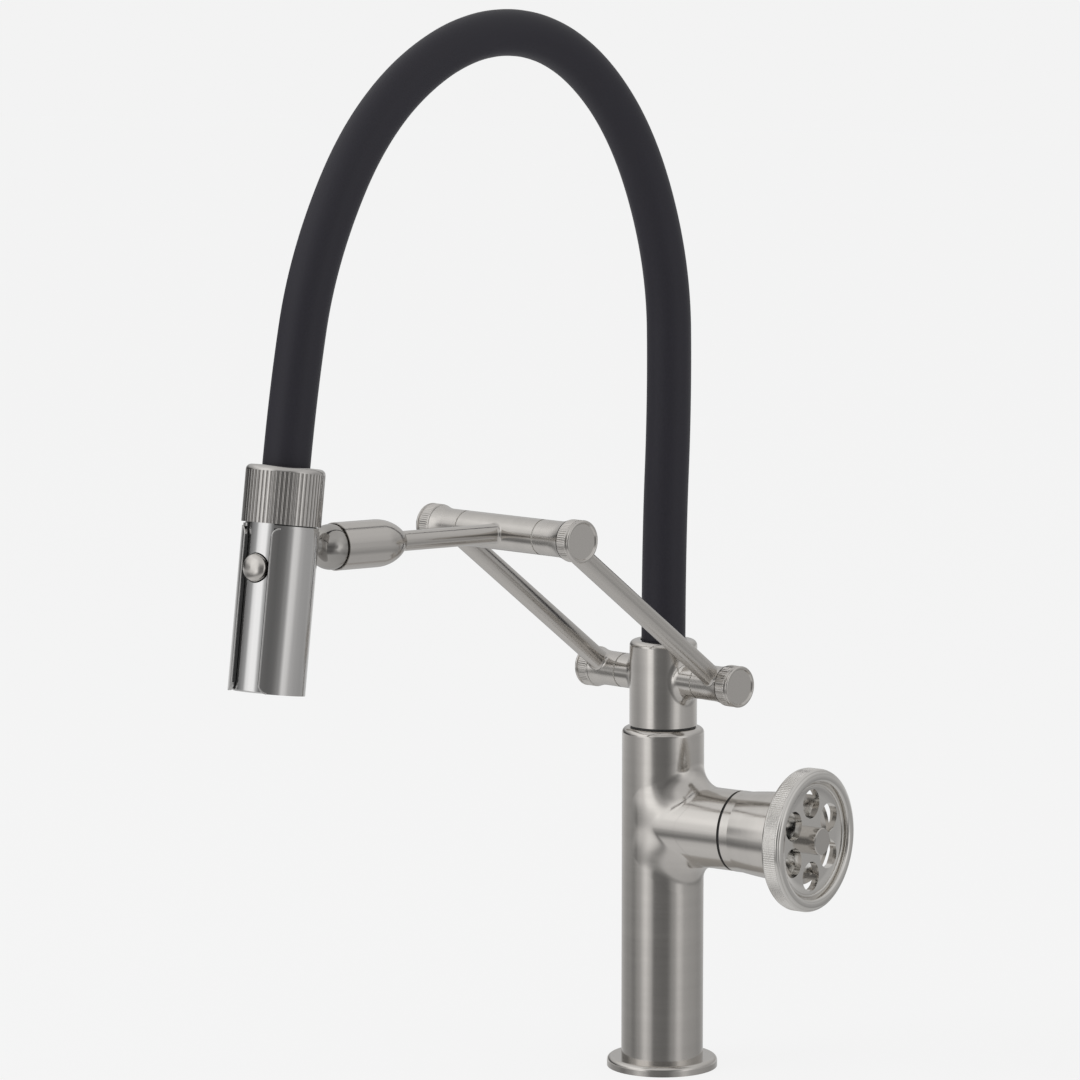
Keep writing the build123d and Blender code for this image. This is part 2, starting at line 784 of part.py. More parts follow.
liner_reach = opening_reach * tan(radians(liner_opening))
with BuildPart() as dock_liner:
    with BuildSketch(wand_plane.offset(liner_inset)):
        Circle(dock_inner - fit)
        Circle(dock_inner - fit - liner_wall, mode=Mode.SUBTRACT)
        with BuildLine():
            Polyline((0, 0), (-liner_reach, -opening_reach), (liner_reach, -opening_reach),
                     close=True)
        make_face(mode=Mode.SUBTRACT)
    extrude(amount=collar_start - fit - liner_inset)
keep(dock_liner, "dock_liner")

# Hand spray: a round body with an open foot, a threaded neck and a window for the button
neck_top = wand_length - mouth_depth - slack
button_window = button_radius + button_gap
with BuildPart() as wand_body:
    with BuildSketch(wand_section):
        wall(0, collar_start, 0, wand_radius)
        wall(collar_start, neck_top, 0, wand_neck)
    revolve(axis=wand_axis)
    foot_edge = wand_body.edges().sort_by(wand_axis)[0]
    fillet(foot_edge, wand_edge)
    with BuildSketch(wand_section):
        wall(0, neck_top, 0, wand_core + fit)
        wall(0, face_height + fit, 0, face_radius + fit)
    revolve(axis=wand_axis, mode=Mode.SUBTRACT)
    with BuildSketch(button_plane):
        Circle(button_window)
    extrude(amount=wand_radius, mode=Mode.SUBTRACT)
keep(wand_body, "wand_body")

# Core of the spray with the water way and the button's stepped pocket
button_foot = button_radius + button_flange
button_back = flange_depth - flange_wall
pocket_floor = button_back - button_travel - slack
spring_floor = button_back - spring_length
with BuildPart() as spray_core:
    with BuildSketch(wand_section):
        wall(face_height + fit, core_top, core_bore, wand_core)
    revolve(axis=wand_axis)
    with BuildSketch(button_plane.offset(pocket_floor)):
        Circle(button_foot + slack)
    extrude(amount=wand_core, mode=Mode.SUBTRACT)
    with BuildSketch(button_plane.offset(spring_floor)):
        Circle(spring_radius + fit)
    extrude(amount=wand_core, mode=Mode.SUBTRACT)
    with BuildSketch(button_plane):
        Circle(button_stem + fit)
    extrude(amount=wand_core, mode=Mode.SUBTRACT)
keep(spray_core, "spray_core")

# Fluted collar that covers the hose's union
fluted_top = wand_length - collar_bevel
with BuildPart() as wand_collar:
    with BuildSketch(wand_plane.offset(collar_start)):
        Circle(collar_radius)
        with PolarLocations(collar_radius, flute_count):
            Circle(flute_radius, mode=Mode.SUBTRACT)
    extrude(amount=fluted_top - collar_start)
    with BuildSketch(wand_section):
        with BuildLine():
            Polyline((0, fluted_top), (collar_radius, fluted_top))
            TangentArc((collar_radius, fluted_top), (collar_radius - collar_bevel, wand_length),
                       tangent=(0, 1))
            Polyline((collar_radius - collar_bevel, wand_length), (0, wand_length),
                     (0, fluted_top))
        make_face()
    revolve(axis=wand_axis)
    with BuildSketch(wand_section):
        wall(collar_start, wand_length, 0, collar_mouth)
        wall(collar_start, wand_length - mouth_depth, 0, wand_neck + fit)
    revolve(axis=wand_axis, mode=Mode.SUBTRACT)
keep(wand_collar, "wand_collar")

# Hose end at the spray
nut_top = core_top + hose_nut_height
hose_end = nut_top + wand_ferrule
with BuildPart() as hose_nut:
    with BuildSketch(wand_section):
        wall(core_top, nut_top, core_bore, wand_core)
    revolve(axis=wand_axis)
keep(hose_nut, "hose_nut")

with BuildPart() as wand_sleeve:
    with BuildSketch(wand_section):
        wall(nut_top, hose_end, core_bore, ferrule_radius)
    revolve(axis=wand_axis)
keep(wand_sleeve, "wand_sleeve")

# Spray face with rings of nozzles round the aerator
with BuildPart() as spray_face:
    with BuildSketch(wand_plane.offset(face_inset)):
        Circle(face_radius)
        Circle(aerator_radius + fit, mode=Mode.SUBTRACT)
        for circle, count in zip(nozzle_circles, nozzle_counts):
            with PolarLocations(circle, count):
                Circle(nozzle_radius, mode=Mode.SUBTRACT)
    extrude(amount=face_height - face_inset)
keep(spray_face, "spray_face")

with BuildPart() as aerator:
    with BuildSketch(wand_plane.offset(2 * face_inset)):
        Circle(aerator_radius)
        Circle(mesh_radius, mode=Mode.SUBTRACT)
        with PolarLocations(mesh_circle, mesh_count):
            Circle(mesh_radius, mode=Mode.SUBTRACT)
    extrude(amount=face_height - 2 * face_inset)
keep(aerator, "aerator")

# Domed button, its stem and its return spring
dome_sphere = (button_radius * button_radius + button_dome * button_dome) / (2 * button_dome)
button_section = Plane(origin=button_plane.origin, x_dir=(1, 0, 0), z_dir=-wand_up)
button_axis = Axis(button_plane.origin, -wand_back)
with BuildPart() as spray_button:
    with BuildSketch(button_section):
        with BuildLine():
            Polyline((0, button_front + button_dome), (0, spring_floor - slack),
                     (button_stem, spring_floor - slack), (button_stem, button_back),
                     (button_foot, button_back), (button_foot, flange_depth),
                     (button_radius, flange_depth), (button_radius, button_front))
            RadiusArc((button_radius, button_front), (0, button_front + button_dome),
                      -dome_sphere)
        make_face()
    revolve(axis=button_axis)
keep(spray_button, "spray_button")

with BuildPart() as button_spring:
    with BuildSketch(button_section):
        wall(spring_floor, button_back, button_stem + slack, spring_radius)
    revolve(axis=button_axis)
keep(button_spring, "button_spring")

# Hose: from the swivel up and over to the spray's collar, straight runs joined by large arcs
hose_end_point = wand_foot + wand_up * hose_end
hose_entry = hose_end_point + wand_up * hose_straight
hose_swing = atan2(hose_end_point.X, -hose_end_point.Y)
corners = [Vector(0, 0, hose_foot)]
corners += [Vector(out * sin(hose_swing), -out * cos(hose_swing), z) for out, z in hose_route]
corners += [hose_entry, hose_end_point]
runs = [b - a for a, b in zip(corners, corners[1:])]
hose_bends = [
    hose_share * min(before.length, after.length)
    / tan(radians(before.get_angle(after)) / 2)
    for before, after in zip(runs, runs[1:])
]
with BuildPart() as rubber_hose:
    with BuildLine() as route:
        FilletPolyline(*corners, radius=hose_bends)
    with BuildSketch(Plane(origin=route.line @ 0, z_dir=route.line % 0)):
        Circle(hose_radius)
    sweep(path=route.line)
keep(rubber_hose, "rubber_hose")

print("hose arc radii", [round(bend) for bend in hose_bends])
hose_length = route.wire().length
print("hose length", round(hose_length, 1))
print("volume over section times length",
      round(rubber_hose.part.volume / (pi * hose_radius ** 2 * hose_length), 4))
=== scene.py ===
from math import atan2, cos, pi, radians, sin

import bpy
import numpy as np
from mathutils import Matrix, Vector


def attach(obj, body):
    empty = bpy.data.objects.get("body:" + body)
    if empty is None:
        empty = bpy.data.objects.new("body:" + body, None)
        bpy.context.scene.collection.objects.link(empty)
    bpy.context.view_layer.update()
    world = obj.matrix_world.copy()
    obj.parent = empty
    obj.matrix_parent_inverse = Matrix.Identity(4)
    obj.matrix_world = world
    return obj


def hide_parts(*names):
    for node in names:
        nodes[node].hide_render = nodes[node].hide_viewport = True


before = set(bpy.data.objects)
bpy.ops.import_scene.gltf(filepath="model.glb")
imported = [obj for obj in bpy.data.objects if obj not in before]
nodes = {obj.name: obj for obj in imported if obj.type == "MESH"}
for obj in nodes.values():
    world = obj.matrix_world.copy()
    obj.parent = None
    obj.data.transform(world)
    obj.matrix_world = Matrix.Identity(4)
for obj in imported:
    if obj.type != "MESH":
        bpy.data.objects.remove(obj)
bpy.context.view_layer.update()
print("frame loaded:", len(nodes), "nodes")

mm = 0.001          # the scene is in metres, and its small pieces are given in millimetres


# Camera: stands where the photograph was taken from, aimed straight at a point beside the column
cameraView = {
    "azimuth": 36.33,      # degrees round the column, from straight ahead of it
    "elevation": 6.77,     # degrees above the horizon
    "distance": 2.2,
    "aimRight": -0.06137,  # metres to the right of the column's axis, as the camera sees it
    "aimHeight": 0.26564,
    "lens": 147.87,
    "clipEnd": 100,
}


def makeCamera(view):
    azimuth = radians(view["azimuth"])
    elevation = radians(view["elevation"])
    right = Vector((cos(azimuth), sin(azimuth), 0))
    forward = Vector((-sin(azimuth) * cos(elevation), cos(azimuth) * cos(elevation),
                      -sin(elevation)))
    aim = right * view["aimRight"] + Vector((0, 0, view["aimHeight"]))
    data = bpy.data.cameras.new("camera")
    data.lens = view["lens"]
    data.clip_end = view["clipEnd"]
    camera = bpy.data.objects.new("camera", data)
    camera.location = aim - forward * view["distance"]
    camera.rotation_euler = forward.to_track_quat("-Z", "Y").to_euler()
    bpy.context.scene.collection.objects.link(camera)
    bpy.context.scene.camera = camera


makeCamera(cameraView)
print("camera placed")


# Small helpers for node trees and meshes

def node(tree, kind, **settings):
    made = tree.nodes.new(kind)
    for name, value in settings.items():
        setattr(made, name, value)
    return made


def wire(tree, source, target):
    tree.links.new(source, target)


def mathNode(tree, operation, first, second=None):
    made = node(tree, "ShaderNodeMath", operation=operation)
    for socket, value in zip(made.inputs, (first, second)):
        if isinstance(value, bpy.types.NodeSocket):
            wire(tree, value, socket)
        elif value is not None:
            socket.default_value = value
    return made.outputs[0]


def rampNode(tree, factor, stops):
    made = node(tree, "ShaderNodeValToRGB")
    made.color_ramp.interpolation = "EASE"
    elements = made.color_ramp.elements
    while len(elements) < len(stops):
        elements.new(0.5)
    for element, (place, value) in zip(elements, stops):
        element.position = place
        colour = value if isinstance(value, tuple) else (value, value, value)
        element.color = (*colour, 1)
    wire(tree, factor, made.inputs[0])
    return made.outputs[0]


def grey(value):
    return (value, value, value, 1)


def newMaterial(name):
    material = bpy.data.materials.new(name)
    material.use_nodes = True
    return material, material.node_tree


def gridMesh(name, points, closeU=False, closeV=False, smooth=True):
    # points is a grid of places; each cell is one face, wound so that u cross v points outwards
    rows, columns = points.shape[:2]
    mesh = bpy.data.meshes.new(name)
    i = np.arange(rows if closeU else rows - 1)
    j = np.arange(columns if closeV else columns - 1)
    i, j = np.meshgrid(i, j, indexing="ij")
    nextI = (i + 1) % rows
    nextJ = (j + 1) % columns
    faces = np.stack([i * columns + j, nextI * columns + j, nextI * columns + nextJ,
                      i * columns + nextJ], axis=-1).reshape(-1, 4)
    mesh.from_pydata(points.reshape(-1, 3), [], faces)
    mesh.validate()
    if smooth:
        mesh.shade_smooth()
    made = bpy.data.objects.new(name, mesh)
    bpy.context.scene.collection.objects.link(made)
    return made


# Studio: pale floor, pale world, and a tent of lit and unlit cards that the metal mirrors
studioView = {
    "backdrop": 0.896,
    "diffuse": 0.75,
    "tentRadius": 5.0,
    "tentCentre": (-0.02, -0.1, 0.27),
    "tentGrid": (97, 49),      # points round the tent and from its bottom to its top
    "floorSize": 30.0,
    "floorGlow": 0.92,         # share of the floor's own glow, the rest is matte
    "floorTone": 0.9165,
    # brightness of the cards in rows: the row's height above the horizon in degrees, then
    # places round the camera's line in degrees to the right with their brightness
    "rows": [
        (-90, [(-180, 0.60), (180, 0.60)]),
        (-36, [(-180, 0.52), (-110, 0.66), (-80, 0.68), (-40, 0.62), (20, 0.55), (80, 0.50),
               (120, 0.46), (180, 0.52)]),
        (-24, [(-180, 0.45), (-110, 0.22), (-91, 0.18), (-73, 0.22), (-40, 0.32), (0, 0.24),
               (30, 0.34), (60, 0.42), (84, 0.34), (120, 0.30), (180, 0.45)]),
        (-14, [(-180, 0.60), (-110, 0.34), (-91, 0.24), (-73, 0.40), (-50, 0.85), (-38, 0.60),
               (-24, 0.18), (10, 0.16), (30, 0.38), (46, 0.70), (66, 0.46), (84, 0.42), (120, 0.36),
               (180, 0.60)]),
        (-7, [(-180, 0.78), (-150, 0.72), (-134, 0.62), (-104, 0.50), (-82, 0.64), (-62, 0.80),
              (-50, 1.25), (-40, 1.25), (-31, 0.34), (-16, 0.21), (4, 0.19), (20, 0.25), (30, 0.52),
              (38, 0.88), (50, 0.90), (64, 0.56), (90, 0.47), (110, 0.47), (140, 0.66),
              (180, 0.78)]),
        (0, [(-180, 0.50), (-160, 0.20), (-140, 0.03), (-116, 0.05), (-100, 0.24), (-86, 0.36),
             (-72, 0.90), (-58, 1.05), (-42, 1.10), (-32, 0.40), (-20, 0.20), (10, 0.18),
             (34, 0.34), (46, 0.95), (60, 0.90), (72, 0.58), (92, 0.46), (112, 0.45), (140, 0.50),
             (180, 0.50)]),
        (7, [(-180, 0.50), (-140, 0.10), (-118, 0.06), (-100, 0.26), (-84, 0.36), (-72, 0.95),
             (-58, 1.10), (-44, 1.10), (-34, 0.50), (-24, 0.20), (0, 0.15), (20, 0.18), (36, 0.36),
             (50, 0.95), (64, 0.80), (80, 0.52), (100, 0.40), (140, 0.45), (180, 0.50)]),
        (18, [(-180, 0.60), (-120, 0.50), (-96, 0.80), (-70, 1.15), (-44, 1.05), (-20, 0.30),
              (20, 0.26), (50, 0.80), (80, 0.62), (110, 0.50), (180, 0.60)]),
        (36, [(-180, 0.60), (-91, 1.00), (-60, 1.15), (-20, 0.70), (30, 0.60), (70, 0.72),
              (110, 0.62), (180, 0.60)]),
        (50, [(-180, 0.66), (-70, 0.88), (0, 0.66), (90, 0.66), (180, 0.66)]),
        (90, [(-180, 0.62), (180, 0.62)]),
    ],
}
softboxes = {
    # azimuth and elevation are where the lamp stands, seen from the object, in degrees
    "keySoftbox": {"azimuth": -35, "elevation": 38, "distance": 2.6, "size": (1.2, 1.2),
                   "power": 18},
    "fillSoftbox": {"azimuth": 95, "elevation": 30, "distance": 3.0, "size": (1.0, 1.6),
                    "power": 8},
}
softboxAim = Vector((0, -0.1, 0.3))


def makeWorld(view):
    # the camera and the mirrors see the backdrop, and the rest is lit by the diffuse tone
    world = bpy.data.worlds.new("studio")
    bpy.context.scene.world = world
    world.use_nodes = True
    tree = world.node_tree
    tree.nodes.clear()
    seen = node(tree, "ShaderNodeBackground")
    seen.inputs["Color"].default_value = grey(view["backdrop"])
    light = node(tree, "ShaderNodeBackground")
    light.inputs["Color"].default_value = grey(view["diffuse"])
    path = node(tree, "ShaderNodeLightPath")
    direct = mathNode(tree, "MAXIMUM", path.outputs["Is Camera Ray"], path.outputs["Is Glossy Ray"])
    direct = mathNode(tree, "MAXIMUM", direct, path.outputs["Is Transmission Ray"])
    mix = node(tree, "ShaderNodeMixShader")
    wire(tree, direct, mix.inputs[0])
    wire(tree, light.outputs[0], mix.inputs[1])
    wire(tree, seen.outputs[0], mix.inputs[2])
    wire(tree, mix.outputs[0], node(tree, "ShaderNodeOutputWorld").inputs[0])


def makeTent(view, cameraAzimuth):
    # a sphere round the object: radius times (cos up cos around, cos up sin around, sin up)
    aroundPoints, upPoints = view["tentGrid"]
    around, up = np.meshgrid(np.linspace(-pi, pi, aroundPoints),
                             np.linspace(-pi / 2, pi / 2, upPoints), indexing="ij")
    points = np.array(view["tentCentre"]) + view["tentRadius"] * np.stack(
        [np.cos(up) * np.cos(around), np.cos(up) * np.sin(around), np.sin(up)], axis=-1)
    tent = gridMesh("cardTent", points)
    material, tree = newMaterial("cardTent")
    tree.nodes.clear()
    place = node(tree, "ShaderNodeTexCoord").outputs["Object"]
    centred = node(tree, "ShaderNodeVectorMath", operation="SUBTRACT")
    wire(tree, place, centred.inputs[0])
    centred.inputs[1].default_value = view["tentCentre"]
    axes = node(tree, "ShaderNodeSeparateXYZ")
    wire(tree, centred.outputs[0], axes.inputs[0])
    x, y, z = axes.outputs
    # the angle is counted from the camera's line, so the line is turned back to the x axis
    azimuth = radians(cameraAzimuth - 90)
    forward = mathNode(tree, "ADD", mathNode(tree, "MULTIPLY", x, cos(azimuth)),
                       mathNode(tree, "MULTIPLY", y, sin(azimuth)))
    side = mathNode(tree, "SUBTRACT", mathNode(tree, "MULTIPLY", y, cos(azimuth)),
                    mathNode(tree, "MULTIPLY", x, sin(azimuth)))
    angle = mathNode(tree, "ARCTAN2", side, forward)
    turn = mathNode(tree, "ADD", mathNode(tree, "MULTIPLY", angle, 1 / (2 * pi)), 0.5)
    height = mathNode(tree, "ARCSINE", mathNode(tree, "DIVIDE", z, view["tentRadius"]))
    rows = [(level, rampNode(tree, turn, [((a + 180) / 360, v) for a, v in places]))
            for level, places in view["rows"]]
    lower, glowing = rows[0]
    for level, row in rows[1:]:
        rise = node(tree, "ShaderNodeMapRange", interpolation_type="SMOOTHSTEP")
        wire(tree, height, rise.inputs["Value"])
        rise.inputs["From Min"].default_value = radians(lower)
        rise.inputs["From Max"].default_value = radians(level)
        change = mathNode(tree, "SUBTRACT", row, glowing)
        step = mathNode(tree, "MULTIPLY", rise.outputs[0], change)
        glowing = mathNode(tree, "ADD", glowing, step)
        lower = level
    glow = node(tree, "ShaderNodeEmission")
    wire(tree, glowing, glow.inputs["Strength"])
    wire(tree, glow.outputs[0], node(tree, "ShaderNodeOutputMaterial").inputs[0])
    tent.data.materials.append(material)
    tent.visible_camera = False
    tent.visible_diffuse = False
    tent.visible_shadow = False


def makeFloor(view):
    half = view["floorSize"] / 2
    corners = np.array([-half, half])
    x, y = np.meshgrid(corners, corners, indexing="ij")
    floor = gridMesh("floor", np.stack([x, y, np.zeros_like(x)], axis=-1))
    material, tree = newMaterial("floor")
    tree.nodes.clear()
    glow = node(tree, "ShaderNodeEmission")
    glow.inputs["Color"].default_value = grey(view["floorTone"])
    matte = node(tree, "ShaderNodeBsdfDiffuse")
    matte.inputs["Color"].default_value = grey(view["backdrop"])
    mix = node(tree, "ShaderNodeMixShader")
    mix.inputs[0].default_value = view["floorGlow"]
    wire(tree, matte.outputs[0], mix.inputs[1])
    wire(tree, glow.outputs[0], mix.inputs[2])
    wire(tree, mix.outputs[0], node(tree, "ShaderNodeOutputMaterial").inputs[0])
    floor.data.materials.append(material)
    floor.visible_glossy = False


def makeSoftbox(name, look):
    azimuth, elevation = radians(look["azimuth"]), radians(look["elevation"])
    toLamp = Vector((sin(azimuth) * cos(elevation), -cos(azimuth) * cos(elevation),
                     sin(elevation)))
    data = bpy.data.lights.new(name, "AREA")
    data.shape = "RECTANGLE"
    data.size, data.size_y = look["size"]
    data.energy = look["power"]
    lamp = bpy.data.objects.new(name, data)
    lamp.location = softboxAim + toLamp * look["distance"]
    lamp.rotation_euler = toLamp.to_track_quat("Z", "Y").to_euler()
    lamp.visible_glossy = False
    bpy.context.scene.collection.objects.link(lamp)


makeWorld(studioView)
makeTent(studioView, cameraView["azimuth"])
makeFloor(studioView)
for name, look in softboxes.items():
    makeSoftbox(name, look)
bpy.context.scene.view_settings.view_transform = "Standard"
print("studio built")


# What all the materials share
turned = (40, 1500)            # grain across a piece's axis and along it: lines round the piece
drawn = (1500, 25)             # lines along the piece
surface = {
    "stops": (0.3, 0.7),       # where the noise counts as dark and as light
    "toneGrain": (0.08, 3),    # scale as a share of the grain's, and the noise's detail
    "heightGrain": (1, 2),
    "steelRoughness": 0.15,    # how far the roughness strays, as a share of itself
    "steelDepth": 0.00002,     # height of the grain in metres
    "mattTone": 0.15,
    "mattRoughness": 0.1,
    "mattDepth": 0.0001,
    "mattDetail": 3,
}


def makeGrainGroup():
    # Metal grain: noise drawn out by two scales, across the piece's axis and along it.
    # Place is in metres with the piece's axis on Z; Tone and Height run from 0 to 1.
    group = bpy.data.node_groups.new("metalGrain", "ShaderNodeTree")
    face = group.interface
    face.new_socket("Place", in_out="INPUT", socket_type="NodeSocketVector")
    for name, value in zip(("Across", "Along"), turned):
        socket = face.new_socket(name, in_out="INPUT", socket_type="NodeSocketFloat")
        socket.default_value = value
    face.new_socket("Tone", in_out="OUTPUT", socket_type="NodeSocketFloat")
    face.new_socket("Height", in_out="OUTPUT", socket_type="NodeSocketFloat")
    start = node(group, "NodeGroupInput")
    end = node(group, "NodeGroupOutput")
    axes = node(group, "ShaderNodeSeparateXYZ")
    wire(group, start.outputs["Place"], axes.inputs[0])
    x, y, z = axes.outputs

    def streaks(share, detail):
        # the share makes the same grain coarser
        across = mathNode(group, "MULTIPLY", start.outputs["Across"], share)
        along = mathNode(group, "MULTIPLY", start.outputs["Along"], share)
        spot = node(group, "ShaderNodeCombineXYZ")
        wire(group, mathNode(group, "MULTIPLY", x, across), spot.inputs[0])
        wire(group, mathNode(group, "MULTIPLY", y, across), spot.inputs[1])
        wire(group, mathNode(group, "MULTIPLY", z, along), spot.inputs[2])
        noise = node(group, "ShaderNodeTexNoise")
        noise.inputs["Scale"].default_value = 1
        noise.inputs["Detail"].default_value = detail
        wire(group, spot.outputs[0], noise.inputs["Vector"])
        return noise.outputs["Fac"]

    wire(group, streaks(*surface["toneGrain"]), end.inputs["Tone"])
    wire(group, streaks(*surface["heightGrain"]), end.inputs["Height"])
    return group


grainGroup = makeGrainGroup()


def spreadNode(tree, factor, value, share):
    # runs from the value less a share of itself to the value plus that share, at most 1
    low, high = surface["stops"]
    colour = value if isinstance(value, tuple) else (value, value, value)
    less = tuple(c * (1 - share) for c in colour)
    more = tuple(min(1, c * (1 + share)) for c in colour)
    return rampNode(tree, factor, [(low, less), (high, more)])


def bumpNode(tree, height, strength, depth):
    bump = node(tree, "ShaderNodeBump")
    bump.inputs["Strength"].default_value = strength
    bump.inputs["Distance"].default_value = depth
    wire(tree, height, bump.inputs["Height"])
    return bump.outputs[0]


def paintBoreLight(tree, place, colour, look):
    # nearer to the axis than the bore's radius, the colour is painted brighter: painted light
    # inside the hollow, where little light gets in
    axes = node(tree, "ShaderNodeSeparateXYZ")
    wire(tree, place, axes.inputs[0])
    flat = node(tree, "ShaderNodeCombineXYZ")
    wire(tree, axes.outputs[0], flat.inputs[0])
    wire(tree, axes.outputs[1], flat.inputs[1])
    length = node(tree, "ShaderNodeVectorMath", operation="LENGTH")
    wire(tree, flat.outputs[0], length.inputs[0])
    inside = mathNode(tree, "LESS_THAN", length.outputs["Value"], look["bore"])
    mix = node(tree, "ShaderNodeMix", data_type="RGBA")
    wire(tree, inside, mix.inputs["Factor"])
    wire(tree, colour, mix.inputs["A"])
    mix.inputs["B"].default_value = (*look["boreColour"], 1)
    return mix.outputs["Result"]


def steelMaterial(name, look):
    # look: colour, roughness, tone (colour change), grain (bump), lines, axis and centre of the
    # piece, and a bore's radius and a brighter colour inside it, painted light in that hollow
    material, tree = newMaterial(name)
    shader = tree.nodes["Principled BSDF"]
    turn = node(tree, "ShaderNodeMapping", vector_type="TEXTURE")
    turn.inputs["Location"].default_value = look.get("centre", (0, 0, 0))
    axis = Vector(look.get("axis", (0, 0, 1)))
    turn.inputs["Rotation"].default_value = axis.to_track_quat("Z", "Y").to_euler()
    wire(tree, node(tree, "ShaderNodeTexCoord").outputs["Object"], turn.inputs["Vector"])
    grain = node(tree, "ShaderNodeGroup", node_tree=grainGroup)
    wire(tree, turn.outputs[0], grain.inputs["Place"])
    grain.inputs["Across"].default_value, grain.inputs["Along"].default_value = look["lines"]
    colour = spreadNode(tree, grain.outputs["Tone"], look["colour"], look["tone"])
    if "bore" in look:
        colour = paintBoreLight(tree, turn.outputs[0], colour, look)
    wire(tree, colour, shader.inputs["Base Color"])
    height = grain.outputs["Height"]
    wire(tree, spreadNode(tree, height, look["roughness"], surface["steelRoughness"]),
         shader.inputs["Roughness"])
    shader.inputs["Metallic"].default_value = 1
    wire(tree, bumpNode(tree, height, look["grain"], surface["steelDepth"]),
         shader.inputs["Normal"])
    return material


def mattMaterial(name, look):
    # look: colour, roughness, grain size (1/m), bump, shine (specular level), metallic
    material, tree = newMaterial(name)
    shader = tree.nodes["Principled BSDF"]
    noise = node(tree, "ShaderNodeTexNoise")
    noise.inputs["Scale"].default_value = look.get("size", 1500)
    noise.inputs["Detail"].default_value = surface["mattDetail"]
    wire(tree, node(tree, "ShaderNodeTexCoord").outputs["Object"], noise.inputs["Vector"])
    height = noise.outputs["Fac"]
    wire(tree, spreadNode(tree, height, look["colour"], surface["mattTone"]),
         shader.inputs["Base Color"])
    wire(tree, spreadNode(tree, height, look["roughness"], surface["mattRoughness"]),
         shader.inputs["Roughness"])
    shader.inputs["Metallic"].default_value = look.get("metallic", 0)
    shader.inputs["Specular IOR Level"].default_value = look.get("shine", 0.5)
    wire(tree, bumpNode(tree, height, look.get("bump", 0.1), surface["mattDepth"]),
         shader.inputs["Normal"])
    return material


# The swung spout, in degrees and metres: its pivots, arms, forearm and spray
spout = {
    "turn": -9.4,
    "armRise": 36.55,
    "forearmRise": 1.3,
    "wandLean": 8.5,
    "trunnionHeight": 0.1976,
    "armLength": 0.1353,
    "forearmLength": 0.1121,   # from the elbow to the ball
    "ballReach": 0.0369,       # from the spray's axis back to the ball
    "ballHeight": 0.0685,      # up the spray's axis from its foot
}
spoutTurn = radians(spout["turn"])
armRise = radians(spout["armRise"])
forearmRise = radians(spout["forearmRise"])
wandLean = radians(spout["wandLean"])
trunnionCentre = Vector((0, 0, spout["trunnionHeight"]))
crossAxis = Vector((cos(spoutTurn), sin(spoutTurn), 0))
aheadAxis = Vector((sin(spoutTurn), -cos(spoutTurn), 0))
armAxis = aheadAxis * cos(armRise) + Vector((0, 0, sin(armRise)))
elbowCentre = trunnionCentre + armAxis * spout["armLength"]
forearmAxis = aheadAxis * cos(forearmRise) + Vector((0, 0, sin(forearmRise)))
wandUp = Vector((0, sin(wandLean), cos(wandLean)))
wandBack = Vector((0, cos(wandLean), -sin(wandLean)))
ballCentre = elbowCentre + forearmAxis * spout["forearmLength"]
wandFoot = ballCentre - wandBack * spout["ballReach"] - wandUp * spout["ballHeight"]
handleAxis = (1, 0, 0)         # the handwheel's own, out of the column's side
handleCentre = (0, 0, 0.1243)

steelColour = (0.62, 0.595, 0.565)
aboutHandle = {"axis": handleAxis, "centre": handleCentre, "lines": turned}
steels = {
    "columnSteel": {"colour": steelColour, "roughness": 0.16, "tone": 0.03, "grain": 0.1,
                    "lines": turned},
    "wheelSteel": {"colour": steelColour, "roughness": 0.17, "tone": 0.03, "grain": 0.05,
                   **aboutHandle},
    # the bore's colour is painted light: the hollow inside the neck is painted brighter
    "neckSteel": {"colour": steelColour, "roughness": 0.17, "tone": 0.03, "grain": 0.1,
                  "bore": 0.0172, "boreColour": (0.88, 0.87, 0.85), **aboutHandle},
    "rimSteel": {"colour": (0.74, 0.72, 0.69), "roughness": 0.14, "tone": 0.03, "grain": 0.08,
                 **aboutHandle},
    "knurlSteel": {"colour": (0.78, 0.76, 0.73), "roughness": 0.26, "tone": 0.03, "grain": 0.05,
                   **aboutHandle},
    "pivotSteel": {"colour": steelColour, "roughness": 0.18, "tone": 0.03, "grain": 0.1,
                   "axis": crossAxis, "centre": trunnionCentre, "lines": turned},
    "armSteel": {"colour": steelColour, "roughness": 0.24, "tone": 0.03, "grain": 0.04,
                 "axis": armAxis, "centre": trunnionCentre, "lines": drawn},
    "forearmSteel": {"colour": steelColour, "roughness": 0.17, "tone": 0.03, "grain": 0.08,
                     "axis": forearmAxis, "centre": elbowCentre, "lines": drawn},
    "collarSteel": {"colour": (0.58, 0.56, 0.54), "roughness": 0.12, "tone": 0.03, "grain": 0.05,
                    "axis": wandUp, "centre": wandFoot, "lines": turned},
    "dockSteel": {"colour": (0.61, 0.6, 0.59), "roughness": 0.14, "tone": 0.03, "grain": 0.05,
                  "axis": wandUp, "centre": wandFoot, "lines": drawn},
    "wandChrome": {"colour": (0.74, 0.735, 0.73), "roughness": 0.12, "tone": 0.02, "grain": 0.03,
                   "axis": wandUp, "centre": wandFoot, "lines": drawn},
    "buttonSteel": {"colour": steelColour, "roughness": 0.2, "tone": 0.02, "grain": 0.05,
                    "axis": wandBack, "centre": wandFoot, "lines": turned},
    # the ball's colour is darkened as painted shade, for the dark cup that it mirrors
    "ballPaintedShadeSteel": {"colour": (0.44, 0.425, 0.405), "roughness": 0.1, "tone": 0.03, "grain": 0.03,
                  "axis": wandBack, "centre": ballCentre, "lines": turned},
}
